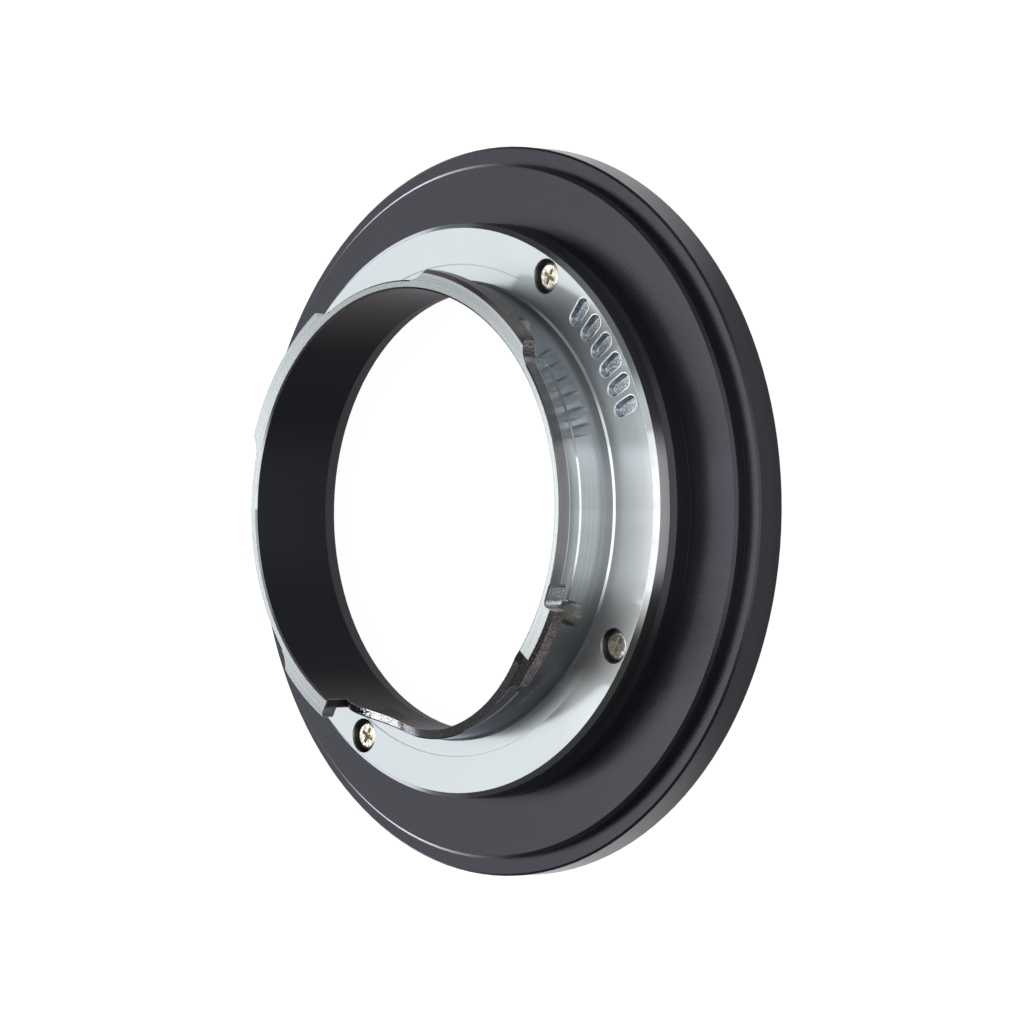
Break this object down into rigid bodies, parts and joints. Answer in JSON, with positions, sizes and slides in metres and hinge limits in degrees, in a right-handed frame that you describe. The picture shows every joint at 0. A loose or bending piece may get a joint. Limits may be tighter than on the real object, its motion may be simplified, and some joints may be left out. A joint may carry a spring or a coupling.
{
  "type": "twist-lock lens mount",
  "caption": "Flat black lens-adapter ring with a chromed twist-lock bayonet screwed to its front and a female thread in its rear.",
  "frame": {"origin": "on the optical axis, in the rear face that the ring lies on", "axes": "+Z along the optical axis towards the bayonet; +X towards the middle of the gap between the last lug and the first, near the code pits"},
  "size_m": [0.0706, 0.0706, 0.0156],
  "materials": {
    "black_anodised": "satin black anodised, fine turning lines",
    "chrome_plate": "turned and satin chromed, blackened bore",
    "screw_nickel": "bright nickel"
  },
  "bodies": {
    "root": {"adapter_body": "black_anodised", "bayonet_mount": "chrome_plate", "mount_screws": "screw_nickel"}
  },
  "joints": []
}
